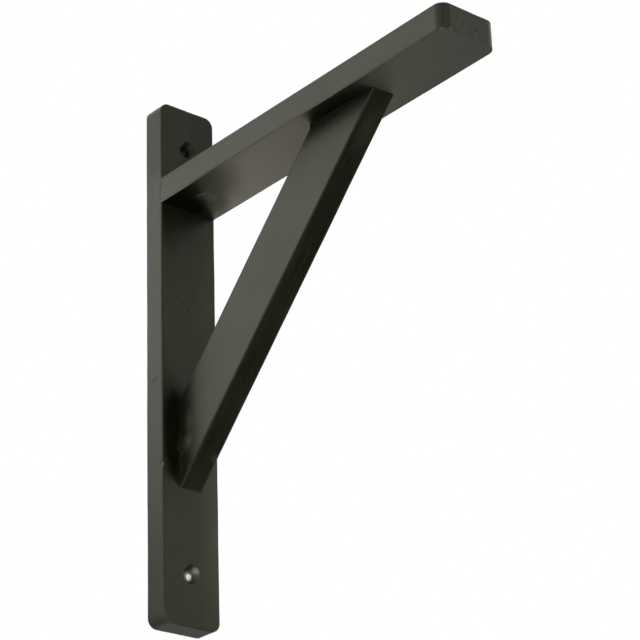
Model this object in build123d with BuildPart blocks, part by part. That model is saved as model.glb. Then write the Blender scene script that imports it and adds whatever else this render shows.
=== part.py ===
from build123d import *
import os
from math import sqrt, tan, radians

# Wooden gallows bracket for a shelf: a wall upright, an arm and a 45 degree brace of painted slats.
# The slats are glued face to face and drawn together by countersunk wood screws from the hidden sides.
# X runs across the bracket, Y points into the wall and Z points up. The wall plane is Y = 0.
# The origin lies on that plane, midway between the two wall-screw holes.

# Slats, in millimetres
SLAT_WIDTH = 30.0          # upright and arm, across the bracket
UPRIGHT_HEIGHT = 250.0
UPRIGHT_THICKNESS = 11.5
ARM_REACH = 200.0          # from the wall to the arm's front end
ARM_THICKNESS = 12.5
EAR_HEIGHT = 40.0          # upright above the arm's top, behind the shelf
BRACE_WIDTH = 28.6         # seen from the side
BRACE_THICKNESS = 11.5     # across the bracket
BRACE_LEG = 95.0           # from the inner corner to the brace's inner edge, down and out alike
CORNER_RADIUS = 4.5        # rounded corners of the upright and of the arm's front end
EDGE_RADIUS = 0.6          # sanded edges of the slats

# Wall-screw holes, countersunk from the front
WALL_HOLE_FROM_FOOT = 23.5
WALL_HOLE_FROM_TOP = 21.0
WALL_HOLE_DIAMETER = 4.5
WALL_SINK_DIAMETER = 9.0

# Assembly screws and their holes
SINK_ANGLE = 90.0
SCREW_LENGTH = 35.0
SCREW_HEAD_DIAMETER = 7.0
SCREW_CORE_DIAMETER = 2.5
SCREW_POINT_LENGTH = 5.0
SCREW_SUNK = 0.3           # head's top below the wood's face
SCREW_PAIR_SPACING = 14.0  # the two screws in the arm's end
RECESS_SPAN = 4.0          # cross recess of the head, tip to tip
RECESS_SLOT = 0.9
RECESS_DEPTH = 1.5
RECESS_TAPER = 8.0
SCREW_PASSAGE = 4.0        # hole that lets the thread pass through the outer slat
SEAT_CLEARANCE = 0.05      # around the head's cone and the core
PILOT_SPARE = 1.0          # pilot hole past the screw's tip

# Places worked out from the sizes
HOLE_SPACING = UPRIGHT_HEIGHT - WALL_HOLE_FROM_FOOT - WALL_HOLE_FROM_TOP
FOOT_Z = -HOLE_SPACING / 2 - WALL_HOLE_FROM_FOOT
TOP_Z = FOOT_Z + UPRIGHT_HEIGHT
ARM_TOP_Z = TOP_Z - EAR_HEIGHT
ARM_BOTTOM_Z = ARM_TOP_Z - ARM_THICKNESS
FRONT_Y = -UPRIGHT_THICKNESS
ARM_LENGTH = ARM_REACH - UPRIGHT_THICKNESS
BRACE_CUT = BRACE_WIDTH * sqrt(2)              # length of each mitred end
BRACE_OUTER_LEG = BRACE_LEG + BRACE_CUT
SINK_SLOPE = tan(radians(SINK_ANGLE / 2))      # cone radius gained per millimetre of depth
HEAD_SINK_RADIUS = SCREW_HEAD_DIAMETER / 2 + SCREW_SUNK * SINK_SLOPE + SEAT_CLEARANCE
PILOT_RADIUS = SCREW_CORE_DIAMETER / 2 + SEAT_CLEARANCE
GRIP_PAST_UPRIGHT = SCREW_SUNK + SCREW_LENGTH - UPRIGHT_THICKNESS
GRIP_PAST_ARM = SCREW_SUNK + SCREW_LENGTH - ARM_THICKNESS

# Faces that the holes start from, with their normals out of the wood
UPRIGHT_FRONT = Plane.XZ.offset(UPRIGHT_THICKNESS)
UPRIGHT_BACK = Plane(origin=(0, 0, 0), x_dir=(-1, 0, 0), z_dir=(0, 1, 0))
BUTT_FACE = UPRIGHT_BACK.offset(-UPRIGHT_THICKNESS)
ARM_TOP = Plane.XY.offset(ARM_TOP_Z)
ARM_UNDERSIDE = Plane.XY.offset(ARM_BOTTOM_Z)

# Screw places on those faces. The brace's screws run midway between its edges at half their grip.
ARM_SCREWS = [(side * SCREW_PAIR_SPACING / 2, ARM_TOP_Z - ARM_THICKNESS / 2) for side in (-1, 1)]
FOOT_SCREW = (0, ARM_BOTTOM_Z - BRACE_LEG - (BRACE_CUT - GRIP_PAST_UPRIGHT) / 2)
HEAD_SCREW = (0, FRONT_Y - BRACE_LEG - (BRACE_CUT - GRIP_PAST_ARM) / 2)

os.makedirs("parts", exist_ok=True)

# Upright
with BuildPart() as upright:
    with BuildSketch(Plane.XZ):
        with Locations((0, (FOOT_Z + TOP_Z) / 2)):
            RectangleRounded(SLAT_WIDTH, UPRIGHT_HEIGHT, CORNER_RADIUS)
    extrude(amount=UPRIGHT_THICKNESS)
    faces_in_depth = upright.faces().sort_by(Axis.Y)
    fillet(faces_in_depth[0].edges() + faces_in_depth[-1].edges(), EDGE_RADIUS)
    # The front edges stay square behind the arm's end, so the sides run flush across the joint
    with Locations((0, FRONT_Y, ARM_BOTTOM_Z)):
        Box(SLAT_WIDTH, 2 * EDGE_RADIUS, ARM_THICKNESS, align=(Align.CENTER, Align.MIN, Align.MIN))
    with Locations(UPRIGHT_FRONT):
        with GridLocations(0, HOLE_SPACING, 1, 2):
            CounterSinkHole(WALL_HOLE_DIAMETER / 2, WALL_SINK_DIAMETER / 2, UPRIGHT_THICKNESS, SINK_ANGLE)
    with Locations(UPRIGHT_BACK):
        with Locations(*ARM_SCREWS, FOOT_SCREW):
            CounterSinkHole(SCREW_PASSAGE / 2, HEAD_SINK_RADIUS, UPRIGHT_THICKNESS, SINK_ANGLE)
upright.part.label = "upright"
export_step(upright.part, "parts/upright.step")

# Arm
with BuildPart() as arm:
    with BuildSketch(ARM_UNDERSIDE) as arm_outline:
        with Locations((0, FRONT_Y)):
            Rectangle(SLAT_WIDTH, ARM_LENGTH, align=(Align.CENTER, Align.MAX))
        fillet(arm_outline.vertices().group_by(Axis.Y)[0], CORNER_RADIUS)
    extrude(amount=ARM_THICKNESS)
    faces_in_height = arm.faces().sort_by(Axis.Z)
    # The two edges at the butt end stay square
    sanded = faces_in_height[0].edges().sort_by(Axis.Y)[:-1] + faces_in_height[-1].edges().sort_by(Axis.Y)[:-1]
    fillet(sanded, EDGE_RADIUS)
    with Locations(BUTT_FACE):
        with Locations(*ARM_SCREWS):
            Hole(PILOT_RADIUS, GRIP_PAST_UPRIGHT + PILOT_SPARE)
    with Locations(ARM_TOP):
        with Locations(HEAD_SCREW):
            CounterSinkHole(SCREW_PASSAGE / 2, HEAD_SINK_RADIUS, ARM_THICKNESS, SINK_ANGLE)
arm.part.label = "arm"
export_step(arm.part, "parts/arm.step")

# Brace
with BuildPart() as brace:
    with BuildSketch(Plane.YZ):
        with BuildLine():
            Polyline(
                (FRONT_Y, ARM_BOTTOM_Z - BRACE_LEG),
                (FRONT_Y - BRACE_LEG, ARM_BOTTOM_Z),
                (FRONT_Y - BRACE_OUTER_LEG, ARM_BOTTOM_Z),
                (FRONT_Y, ARM_BOTTOM_Z - BRACE_OUTER_LEG),
                close=True,
            )
        make_face()
    extrude(amount=BRACE_THICKNESS / 2, both=True)
    slope = Axis((0, 0, 0), (0, -1, 1))
    fillet(brace.edges().filter_by(slope), EDGE_RADIUS)
    with Locations(BUTT_FACE):
        with Locations(FOOT_SCREW):
            Hole(PILOT_RADIUS, GRIP_PAST_UPRIGHT + PILOT_SPARE)
    with Locations(ARM_UNDERSIDE):
        with Locations(HEAD_SCREW):
            Hole(PILOT_RADIUS, GRIP_PAST_ARM + PILOT_SPARE)
brace.part.label = "brace"
export_step(brace.part, "parts/brace.step")

# One wood screw, head up, with its top at the origin
with BuildPart() as screw:
    with BuildSketch(Plane.XZ):
        with BuildLine():
            head_height = (SCREW_HEAD_DIAMETER - SCREW_CORE_DIAMETER) / 2 / SINK_SLOPE
            Polyline(
                (0, 0),
                (SCREW_HEAD_DIAMETER / 2, 0),
                (SCREW_CORE_DIAMETER / 2, -head_height),
                (SCREW_CORE_DIAMETER / 2, SCREW_POINT_LENGTH - SCREW_LENGTH),
                (0, -SCREW_LENGTH),
                close=True,
            )
        make_face()
    revolve(axis=Axis.Z)
    with BuildSketch():
        Rectangle(RECESS_SPAN, RECESS_SLOT)
        Rectangle(RECESS_SLOT, RECESS_SPAN)
    extrude(amount=-RECESS_DEPTH, taper=RECESS_TAPER, mode=Mode.SUBTRACT)

# The four screws in their seats
with BuildPart() as assembly_screws:
    with Locations(UPRIGHT_BACK.offset(-SCREW_SUNK)):
        with Locations(*ARM_SCREWS, FOOT_SCREW):
            add(screw.part)
    with Locations(ARM_TOP.offset(-SCREW_SUNK)):
        with Locations(HEAD_SCREW):
            add(screw.part)
assembly_screws.part.label = "assembly_screws"
export_step(assembly_screws.part, "parts/assembly_screws.step")
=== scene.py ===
"""Dresses a wooden gallows bracket for a shelf: painted slats, joint paint, screws and a plain studio.

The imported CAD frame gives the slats' sizes and places. X runs across the bracket, Y points into the wall and
Z points up. Lengths are metres, and MM turns millimetres into them.
"""

import logging
import math
from dataclasses import dataclass, field
from enum import Enum

import bmesh
import bpy
import numpy as np
from mathutils import Matrix, Vector


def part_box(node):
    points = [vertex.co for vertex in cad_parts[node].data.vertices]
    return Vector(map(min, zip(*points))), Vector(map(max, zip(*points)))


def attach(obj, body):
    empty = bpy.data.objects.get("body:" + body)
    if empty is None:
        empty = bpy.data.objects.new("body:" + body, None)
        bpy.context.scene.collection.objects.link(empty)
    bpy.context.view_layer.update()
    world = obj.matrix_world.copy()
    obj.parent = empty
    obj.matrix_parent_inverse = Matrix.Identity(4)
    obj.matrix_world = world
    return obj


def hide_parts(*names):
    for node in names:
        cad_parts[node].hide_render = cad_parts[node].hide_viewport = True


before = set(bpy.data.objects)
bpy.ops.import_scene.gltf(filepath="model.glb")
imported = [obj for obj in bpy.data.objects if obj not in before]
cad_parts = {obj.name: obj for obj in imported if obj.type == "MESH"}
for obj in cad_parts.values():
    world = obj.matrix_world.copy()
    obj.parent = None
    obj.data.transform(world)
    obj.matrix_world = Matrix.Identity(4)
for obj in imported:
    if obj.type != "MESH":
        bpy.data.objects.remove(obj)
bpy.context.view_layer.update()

MM = 0.001
BODY = "root"
MERGE_DISTANCE = 0.0002 * MM
SHARP_ANGLE = math.radians(38)
EDGE_ATTRIBUTE = "edge"

# Sizes that the frame's boxes don't give
BRACE_WIDTH = 28.6 * MM
BRACE_CUT = BRACE_WIDTH * math.sqrt(2)
CORNER_RADIUS = 4.5 * MM
SAWN_CORNER = 0.05 * MM
WALL_HOLE_FROM_FOOT = 23.5 * MM
WALL_HOLE_FROM_TOP = 21 * MM
WALL_HOLE_RADIUS = 2.25 * MM
WALL_SINK_RADIUS = 4.5 * MM
HEAD_SINK_RADIUS = 3.85 * MM
SCREW_PASSAGE_RADIUS = 2 * MM
SCREW_SUNK = 0.3 * MM
SCREW_PAIR_SPACING = 14 * MM
SCREW_LENGTH = 35 * MM
DRILL_PAST_UPRIGHT = 2 * MM
DRILL_PAST_ARM = 2.5 * MM
FRONTWARD = np.array([0.0, -1.0, 0.0])
BACKWARD = np.array([0.0, 1.0, 0.0])
DOWNWARD = np.array([0.0, 0.0, -1.0])
# Oblique to every hole's axis
OFF_AXIS = np.array([0.31, 0.52, 0.79])

Array = np.ndarray
Vec = tuple[float, float, float]
Span = tuple[float, float]
Tree = bpy.types.NodeTree
Socket = bpy.types.NodeSocket
log = logging.getLogger("bracket")


class Slot(Enum):
    """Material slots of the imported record."""

    PAINTED_WOOD = "painted_wood"
    SCREW_STEEL = "painted_screw_steel"


class MarkKind(Enum):
    """What a small mark in the paint shows, with its colour and roughness."""

    # Paint knocked off, with the paler ground showing through. Also a painted highlight in a countersink
    CHIP_AND_HIGHLIGHT = ("#747370", 0.6)
    # Glue wiped over the wood before painting, lighter; in places also a painted highlight
    GLUE_SMEAR_AND_HIGHLIGHT = ("#55554a", 0.6)
    # Film so thin that it looks greyer; on the brace also painted sheen
    THIN_FILM_AND_SHEEN = ("#33342a", 0.42)
    # Painted shade inside a dent, a hole or a scratch, rough and dark
    SHADED_DENT = ("#070705", 0.6)
    # Paint that dried dull
    DULL_PAINT = ("#0a0b03", 0.78)
    # Paint that pooled in a corner and dried glossy, its darker colour painted shade
    POOLED_PAINT_AND_SHADE = ("#050602", 0.14)
    # Spray that landed half dry
    DRY_SPRAY = ("#0a0b03", 0.54)


def linear(hex_colour: str) -> tuple[float, float, float, float]:
    """Turns an sRGB hex colour into linear RGBA.

    Args:
        hex_colour: six hex digits after a hash sign.

    Returns:
        Linear red, green and blue, with an alpha of one.
    """
    code = np.array([int(hex_colour[i:i + 2], 16) for i in (1, 3, 5)]) / 255
    rgb = np.where(code <= 0.04045, code / 12.92, ((code + 0.055) / 1.055) ** 2.4)
    return (*rgb.tolist(), 1.0)


def add_node(tree: Tree, kind: str, inputs: dict | None = None, **settings: object) -> bpy.types.Node:
    """Adds a node, sets its properties, and fills or links its inputs.

    Args:
        tree: node tree that gets the node.
        kind: Blender's type name of the node.
        inputs: values or output sockets for its inputs, by name or number.
        **settings: properties of the node.

    Returns:
        The new node.
    """
    node = tree.nodes.new(kind)
    for name, value in settings.items():
        setattr(node, name, value)
    for key, value in (inputs or {}).items():
        if isinstance(value, Socket):
            tree.links.new(value, node.inputs[key])
        else:
            node.inputs[key].default_value = value
    return node


def noise(tree: Tree, coords: Socket, scale: float, detail: float, roughness: float = 0.5) -> Socket:
    """Adds a noise texture, its scale in features to a unit of the coordinates."""
    return add_node(tree, "ShaderNodeTexNoise", {
        "Vector": coords, "Scale": scale, "Detail": detail, "Roughness": roughness,
    }).outputs[0]


def compute(tree: Tree, operation: str, *terms: object) -> Socket:
    """Adds a math node for some numbers and sockets."""
    return add_node(tree, "ShaderNodeMath", dict(enumerate(terms)), operation=operation).outputs[0]


def ramp(tree: Tree, value: Socket, source: Span, target: Span = (0.0, 1.0), kind: str = "LINEAR") -> Socket:
    """Maps a value from one span to another, and holds it at the ends.

    Args:
        tree: node tree that gets the node.
        value: the value.
        source: where the ramp begins and ends.
        target: results at those two places.
        kind: Blender's name of the ramp's shape.

    Returns:
        Socket of the result.
    """
    return add_node(tree, "ShaderNodeMapRange", {
        "Value": value, "From Min": source[0], "From Max": source[1],
        "To Min": target[0], "To Max": target[1],
    }, interpolation_type=kind).outputs[0]


def mix_colour(tree: Tree, share: Socket, first: object, second: object) -> Socket:
    """Mixes two colours by a share of the second."""
    return add_node(tree, "ShaderNodeMix", {0: share, 6: first, 7: second}, data_type="RGBA").outputs[2]


def mix_number(tree: Tree, share: Socket, first: object, second: object) -> Socket:
    """Mixes two numbers by a share of the second."""
    return add_node(tree, "ShaderNodeMix", {0: share, 2: first, 3: second}, data_type="FLOAT").outputs[0]


def blank_material(name: str) -> tuple[bpy.types.Material, Tree, Socket]:
    """Makes a material with an empty node tree.

    Args:
        name: name of the material.

    Returns:
        The material, its node tree and its Object coordinates.
    """
    material = bpy.data.materials.new(name)
    material.use_nodes = True
    tree = material.node_tree
    tree.nodes.clear()
    return material, tree, add_node(tree, "ShaderNodeTexCoord").outputs["Object"]


def unit(vectors: Array) -> Array:
    """Scales vectors to length one."""
    return vectors / np.linalg.norm(vectors, axis=-1, keepdims=True)


@dataclass(frozen=True)
class Ripple:
    """Smooth uneven field in space: plane waves with seeded directions and phases, added up.

    Attributes:
        lengths: typical wavelength along each axis.
        seed: seed of the directions and phases.
        waves: number of waves.
    """

    lengths: Vec
    seed: int
    waves: int = 9

    def at(self, points: Array) -> Array:
        """Gives the field at some points.

        Args:
            points: coordinates, three to a point.

        Returns:
            Values that lie mostly between zero and one.
        """
        rng = np.random.default_rng(self.seed)
        numbers = rng.normal(size=(self.waves, 3)) / np.array(self.lengths)
        phases = rng.uniform(0, 2 * np.pi, self.waves)
        total = np.sin(2 * np.pi * points @ numbers.T + phases).sum(-1)
        return np.clip(0.5 + total / (2 * math.sqrt(2 * self.waves)), 0, 1)


def grid_object(name: str, grids: list[Array], ring: bool = False) -> bpy.types.Object:
    """Makes one mesh object out of grids of points.

    Quads join neighbours of each grid. The first index runs round and closes on itself. Ends where the second
    index collapses to a line or a point close when points in one place are merged.

    Args:
        name: name of the object.
        grids: arrays of shape (around, rows, 3).
        ring: whether the rows close on themselves too.

    Returns:
        The object, linked to the scene, with its faces outwards.
    """
    points, quads, start = [], [], 0
    for grid in grids:
        around, rows = grid.shape[:2]
        index = np.arange(around * rows).reshape(around, rows) + start
        beside = np.roll(index, -1, axis=0)
        above, beside_above = np.roll(index, -1, axis=1), np.roll(beside, -1, axis=1)
        last = rows if ring else rows - 1
        corners = np.stack([index, beside, beside_above, above], -1)[:, :last]
        quads.append(corners.reshape(-1, 4))
        points.append(grid.reshape(-1, 3))
        start += around * rows
    mesh = bpy.data.meshes.new(name)
    mesh.from_pydata(np.concatenate(points).tolist(), [], np.concatenate(quads).tolist())
    work = bmesh.new()
    work.from_mesh(mesh)
    bmesh.ops.remove_doubles(work, verts=work.verts[:], dist=MERGE_DISTANCE)
    bmesh.ops.recalc_face_normals(work, faces=work.faces[:])
    work.to_mesh(mesh)
    work.free()
    obj = bpy.data.objects.new(name, mesh)
    bpy.context.scene.collection.objects.link(obj)
    return obj


def revolved(profile: Array, origin: Array, axis: Array, around: int) -> Array:
    """Turns a profile about an axis.

    A point is origin + depth * axis + radius * (cos a * side + sin a * other side), at angle a.

    Args:
        profile: rows of radius and depth.
        origin: where depth is zero.
        axis: unit direction of growing depth.
        around: number of steps round the axis.

    Returns:
        Grid of points, of shape (around, rows, 3).
    """
    side = unit(np.cross(axis, OFF_AXIS))
    other = np.cross(axis, side)
    angle = np.linspace(0, 2 * np.pi, around, endpoint=False)[:, None, None]
    radius, depth = profile[None, :, :1], profile[None, :, 1:]
    return origin + depth * axis + radius * (np.cos(angle) * side + np.sin(angle) * other)


def cut(obj: bpy.types.Object, cutter: bpy.types.Object) -> None:
    """Cuts a closed cutter out of an object's mesh, and deletes the cutter.

    Args:
        obj: object whose mesh is replaced by the cut one.
        cutter: object with closed shells.
    """
    boolean = obj.modifiers.new("holes", "BOOLEAN")
    boolean.object = cutter
    boolean.operation = "DIFFERENCE"
    boolean.solver = "EXACT"
    whole = obj.data
    obj.data = bpy.data.meshes.new_from_object(obj.evaluated_get(bpy.context.evaluated_depsgraph_get()))
    obj.data.name = obj.name
    obj.modifiers.clear()
    bpy.data.meshes.remove(whole)
    bpy.data.objects.remove(cutter)


def smooth(obj: bpy.types.Object) -> None:
    """Shades a mesh smooth, with its sharp edges kept."""
    obj.data.shade_smooth()
    obj.data.set_sharp_from_angle(angle=SHARP_ANGLE)


def hand_over(obj: bpy.types.Object, replaced: tuple[str, ...] = ()) -> None:
    """Gives a finished piece its body, hides the CAD nodes that it stands for, and reports it.

    Args:
        obj: the piece.
        replaced: CAD nodes that it replaces.
    """
    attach(obj, BODY)
    if replaced:
        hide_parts(*replaced)
    log.info("%s: %d faces", obj.name, len(obj.data.polygons))


@dataclass(frozen=True)
class Mark:
    """A small mark in the paint, an uneven ellipsoid spot on Object coordinates.

    Attributes:
        kind: what shows there.
        centre_mm: its middle, in the bracket's frame.
        reach_mm: half its size along its own three axes.
        strength: how much of it shows, from zero to one.
        turn_deg: turn of its axes about X, Y and Z.
        ragged: how far its rim wanders, in shares of its reach.
        soft: how wide its rim fades, in shares of its reach.
        sunk_mm: how deep it is pressed in, below zero for a raised one.
    """

    kind: MarkKind
    centre_mm: Vec
    reach_mm: Vec
    strength: float = 1.0
    turn_deg: Vec = (0.0, 0.0, 0.0)
    ragged: float = 0.9
    soft: float = 0.35
    sunk_mm: float = 0.0


@dataclass(frozen=True)
class PaintedBirch:
    """Satin acrylic sprayed on planed birch.

    The thin film follows the wood, so fine grain lines show along the slat and pores at its sawn ends. The
    eye sees a near-black olive body under a soft grey sheen, which does most of the work.

    Attributes:
        name: name of the material.
        grain_turn: turn about X that lays the slat's grain along Z.
        marks: small marks in the paint.
        body: colour of the paint.
        thin: colour of the paint where it is thin over raised grain.
        worn_and_lit: colour of the film where handling thinned it on an edge, and painted light there.
        sheen: tint of the sheen.
        roughness: lowest and highest roughness of the film.
        edge_roughness: roughness of the film on a sanded edge.
        wear: most that the edge colour shows on an edge.
        ior: index of refraction of the acrylic.
        grain_width_mm: spacing of the grain lines, real ones are finer and wouldn't show.
        grain_length_mm: length of a grain line.
        peel_mm: size of the spray's orange peel.
        cloud_mm: size of the duller and shinier patches.
        grain_height_mm: height of the grain lines.
        peel_height_mm: height of the orange peel.
    """

    name: str
    grain_turn: float = 0.0
    marks: tuple[Mark, ...] = ()
    body: str = "#0a0b03"
    thin: str = "#14150a"
    worn_and_lit: str = "#2a2a22"
    sheen: str = "#fcffde"
    roughness: Span = (0.35, 0.45)
    edge_roughness: float = 0.6
    wear: float = 0.8
    ior: float = 1.5
    grain_width_mm: float = 0.9
    grain_length_mm: float = 26.0
    peel_mm: float = 1.6
    cloud_mm: float = 34.0
    grain_height_mm: float = 0.016
    peel_height_mm: float = 0.009

    def mark_mask(self, tree: Tree, coords: Socket, mark: Mark, seed: int) -> Socket:
        """Masks one mark.

        The distance from its centre, in units of its reach, is made ragged by noise and turned to a spot.

        Args:
            tree: the material's node tree.
            coords: Object coordinates.
            mark: the mark.
            seed: number that sets its ragged rim apart from the others'.

        Returns:
            Socket that is one inside the mark and zero outside.
        """
        place = add_node(tree, "ShaderNodeMapping", {
            "Vector": coords,
            "Location": tuple(np.array(mark.centre_mm) * MM),
            "Rotation": tuple(np.radians(mark.turn_deg)),
            "Scale": tuple(np.array(mark.reach_mm) * MM),
        }, vector_type="TEXTURE").outputs[0]
        length = add_node(tree, "ShaderNodeVectorMath", {0: place}, operation="LENGTH").outputs["Value"]
        rim = add_node(tree, "ShaderNodeTexNoise", {
            "Vector": place, "W": 7.3 * seed, "Scale": 1.5, "Detail": 4.0, "Roughness": 0.62,
        }, noise_dimensions="4D").outputs[0]

        # Noise averages a half, so on the whole it adds the raggedness to the distance
        away = compute(tree, "MULTIPLY_ADD", rim, 2 * mark.ragged, length)
        end = 1.05 + mark.ragged
        return ramp(tree, away, (end - mark.soft, end), (1.0, 0.0), "SMOOTHSTEP")

    def build(self) -> bpy.types.Material:
        """Builds the material.

        Returns:
            The material, with its patterns on Object coordinates.
        """
        material, tree, coords = blank_material(self.name)
        turned = add_node(tree, "ShaderNodeMapping", {
            "Vector": coords, "Rotation": (self.grain_turn, 0, 0),
        }).outputs[0]

        # Scales come from sizes in millimetres. Grain lines run along Z of the turned coordinates
        line = 1 / (self.grain_width_mm * MM)
        drawn = 1 / (self.grain_length_mm * MM)
        stretched = add_node(tree, "ShaderNodeMapping", {
            "Vector": turned, "Scale": (line, line, drawn),
        }).outputs[0]
        grain = noise(tree, stretched, scale=1.0, detail=3.0, roughness=0.62)
        peel = noise(tree, coords, scale=1 / (self.peel_mm * MM), detail=2.0)
        cloud = noise(tree, turned, scale=1 / (self.cloud_mm * MM), detail=3.0, roughness=0.55)

        # The film is thinner on raised grain, the upper half of its noise, and duller there and in patches
        thinness = ramp(tree, grain, (0.5, 0.75))
        colour = mix_colour(tree, thinness, linear(self.body), linear(self.thin))
        uneven_sheen = compute(tree, "ADD", cloud, grain)
        dull = ramp(tree, uneven_sheen, (0.75, 1.25), self.roughness)

        # Handling thins the film along the edges, in patches
        edge = add_node(tree, "ShaderNodeAttribute", attribute_name=EDGE_ATTRIBUTE).outputs["Fac"]
        patchy = compute(tree, "MULTIPLY", edge, cloud)
        # The edge colour, set per slat, is also painted light on the sanded edges
        colour = mix_colour(tree, ramp(tree, patchy, (0.2, 0.7), (0.0, self.wear)), colour, linear(self.worn_and_lit))
        dull = mix_number(tree, edge, dull, self.edge_roughness)

        # Heights are metres: grain lines, orange peel, then each mark's dent
        ridges = compute(tree, "MULTIPLY", grain, self.grain_height_mm * MM)
        height = compute(tree, "MULTIPLY_ADD", peel, self.peel_height_mm * MM, ridges)
        for seed, mark in enumerate(self.marks):
            mask = self.mark_mask(tree, coords, mark, seed)
            shown = compute(tree, "MULTIPLY", mask, mark.strength)
            shade, roughness = mark.kind.value
            colour = mix_colour(tree, shown, colour, linear(shade))
            dull = mix_number(tree, shown, dull, roughness)
            if mark.sunk_mm:
                height = compute(tree, "MULTIPLY_ADD", mask, -mark.sunk_mm * MM, height)
        skin = add_node(tree, "ShaderNodeBump", {"Height": height, "Strength": 1.0, "Distance": 1.0})
        shader = add_node(tree, "ShaderNodeBsdfPrincipled", {
            "Base Color": colour, "Roughness": dull, "IOR": self.ior, "Normal": skin.outputs[0],
            "Specular Tint": linear(self.sheen),
        })
        add_node(tree, "ShaderNodeOutputMaterial", {"Surface": shader.outputs[0]})
        return material


@dataclass(frozen=True)
class BareBirch:
    """Birch freshly drilled after painting: pale, dry and fibrous, nearly white in a painted spot of light.

    Attributes:
        name: name of the material.
        pale: colour of the fibres in the lit spot, nearly white as painted light.
        fibre: colour of the darker fibres.
        shaded_bore: colour of the bore around the lit spot, painted shade.
        fibre_mm: width of a fibre bundle.
        fibre_stretch: how many times longer than wide a bundle is.
        fibre_height_mm: height of the torn fibres.
        roughness: roughness of the dry wood.
        lit_spot_mm: middle of the painted spot of light.
        lit_spot_reach_mm: where the painted shade begins and where it is full, from that middle.
    """

    name: str = "drilled_birch"
    pale: str = "#fdfcf8"
    fibre: str = "#fbf8f0"
    shaded_bore: str = "#5f5d55"
    fibre_mm: float = 0.5
    fibre_stretch: float = 12.0
    fibre_height_mm: float = 0.03
    roughness: float = 0.85
    lit_spot_mm: Vec = (2.17, -6.5, -102.1)
    lit_spot_reach_mm: Span = (1.05, 2.0)

    def build(self) -> bpy.types.Material:
        """Builds the material.

        Returns:
            The material, with its fibres on Object coordinates.
        """
        material, tree, coords = blank_material(self.name)
        fine = 1 / (self.fibre_mm * MM)
        stretched = add_node(tree, "ShaderNodeMapping", {
            "Vector": coords, "Scale": (fine, fine, fine / self.fibre_stretch),
        }).outputs[0]
        fibres = noise(tree, stretched, scale=1.0, detail=2.0)
        wood = mix_colour(tree, fibres, linear(self.pale), linear(self.fibre))
        # Painted light: near white in a round spot, greying away from it as painted shade
        away = add_node(tree, "ShaderNodeVectorMath", {
            0: coords, 1: tuple(np.array(self.lit_spot_mm) * MM),
        }, operation="DISTANCE").outputs["Value"]
        begin, full = self.lit_spot_reach_mm
        shade_share = ramp(tree, away, (begin * MM, full * MM), kind="SMOOTHSTEP")
        colour = mix_colour(tree, shade_share, wood, linear(self.shaded_bore))
        torn = add_node(tree, "ShaderNodeBump", {
            "Height": fibres, "Strength": 1.0, "Distance": self.fibre_height_mm * MM,
        })
        shader = add_node(tree, "ShaderNodeBsdfPrincipled", {
            "Base Color": colour, "Roughness": self.roughness, "Normal": torn.outputs[0],
        })
        add_node(tree, "ShaderNodeOutputMaterial", {"Surface": shader.outputs[0]})
        return material


@dataclass(frozen=True)
class PaintedSteel:
    """Zinc-plated screw steel sprayed over with the bracket's paint: smooth, with thick paint in the recess.

    Attributes:
        name: name of the material.
        body: colour of the paint.
        thick: colour of the paint where it is thick.
        peel_mm: size of the spray's orange peel.
        peel_height_mm: height of the orange peel.
        roughness: lowest and highest roughness of the film.
        ior: index of refraction of the paint.
    """

    name: str = "painted_screw_steel"
    body: str = "#20201c"
    thick: str = "#1a1a17"
    peel_mm: float = 0.7
    peel_height_mm: float = 0.01
    roughness: Span = (0.28, 0.4)
    ior: float = 1.5

    def build(self) -> bpy.types.Material:
        """Builds the material.

        Returns:
            The material, with its orange peel on Object coordinates.
        """
        material, tree, coords = blank_material(self.name)
        peel = noise(tree, coords, scale=1 / (self.peel_mm * MM), detail=2.0)
        colour = mix_colour(tree, peel, linear(self.body), linear(self.thick))
        skin = add_node(tree, "ShaderNodeBump", {
            "Height": peel, "Strength": 1.0, "Distance": self.peel_height_mm * MM,
        })
        shader = add_node(tree, "ShaderNodeBsdfPrincipled", {
            "Base Color": colour, "Roughness": ramp(tree, peel, (0.3, 0.7), self.roughness),
            "IOR": self.ior, "Normal": skin.outputs[0],
        })
        add_node(tree, "ShaderNodeOutputMaterial", {"Surface": shader.outputs[0]})
        return material


@dataclass(frozen=True)
class Hole:
    """A drilled hole, a profile turned about its axis.

    Attributes:
        mouth: middle of its mouth on the wood's face.
        axis: unit direction into the wood.
        radius: radius of its bore.
        sink: radius of the 90 degree countersink at the face, zero for none.
        depth: depth of the bore.
        bare: whether the bore is bare wood.
    """

    mouth: Array
    axis: Array
    radius: float
    sink: float
    depth: float
    bare: bool = False

    def grid(self, lip: float = 0.25 * MM, around: int = 48) -> Array:
        """Grid of the cutter: a lip softened by the paint, the cone, then the bore.

        Args:
            lip: width of the softened rim at the face.
            around: number of steps round the hole.

        Returns:
            Closed grid of points.
        """
        over, just_over = 2 * MM, 0.02 * MM
        mouth = max(self.sink, self.radius)
        cone = max(self.sink - self.radius, 0.0)

        # Radius and depth of each row: over the face, down the lip, the cone and the bore
        rows = [
            (0, -over), (mouth + lip, -over), (mouth + lip, -just_over), (mouth + 0.3 * lip, 0.25 * lip),
            (mouth - 0.5 * lip * (cone > 0), 0.9 * lip),
        ]
        if cone > 0:
            rows += [(self.radius + 0.5 * cone, 0.5 * cone), (self.radius + 0.1 * cone, 0.9 * cone)]
        down_the_bore = (cone + lip, cone + 5 * lip, 0.5 * (cone + self.depth), self.depth)
        rows += [(self.radius, depth) for depth in down_the_bore] + [(0, self.depth)]
        return revolved(np.array(rows), self.mouth, self.axis, around)


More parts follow.
